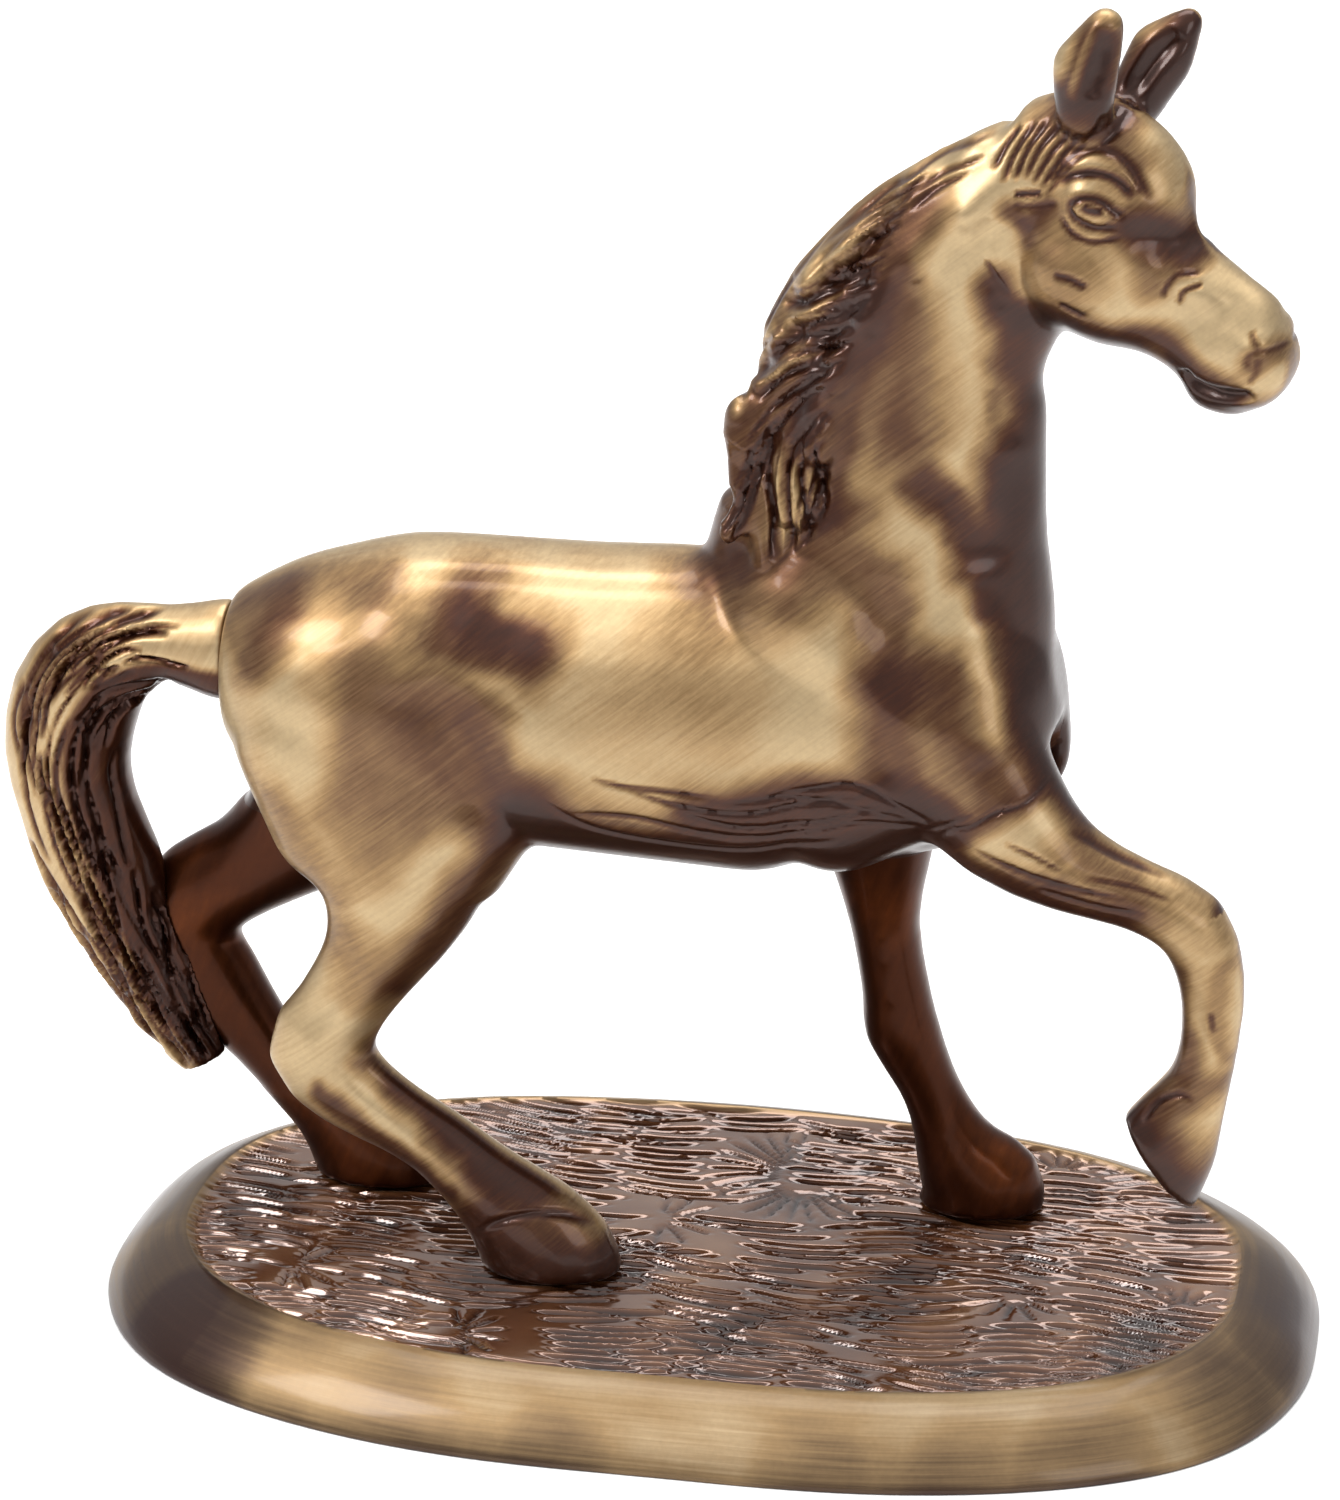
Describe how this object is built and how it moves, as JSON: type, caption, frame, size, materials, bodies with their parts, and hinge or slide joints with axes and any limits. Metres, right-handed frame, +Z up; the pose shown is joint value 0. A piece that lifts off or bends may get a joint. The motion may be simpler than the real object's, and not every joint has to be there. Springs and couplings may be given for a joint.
{
  "type": "horse statuette",
  "caption": "Walking horse statuette in patinated, brushed brass, one foreleg raised, screwed to a hollow oval plinth with an engraved top.",
  "frame": {"origin": "under the middle of the whole figure's bounding box, on the face the plinth stands on", "axes": "+X is the way the horse walks, +Y is its left side, +Z is up"},
  "size_m": [0.1848, 0.105, 0.1901],
  "materials": {
    "brass": "brushed, lacquered, with rubbed brown patina",
    "patina": "dark brown patina under gloss lacquer",
    "plinth_bronze": "engraved, dark glossy top and brushed rim",
    "screw_steel": "zinc plated",
    "washer_steel": "zinc plated"
  },
  "bodies": {
    "root": {"plinth": "plinth_bronze", "trunk_right_shell": "brass", "trunk_left_shell": "brass", "head": "brass", "right_foreleg": "brass", "left_foreleg": "patina", "right_hind_leg": "brass", "left_hind_leg": "patina", "tail": "brass", "hoof_screws": "screw_steel", "screw_washers": "washer_steel"}
  },
  "joints": []
}
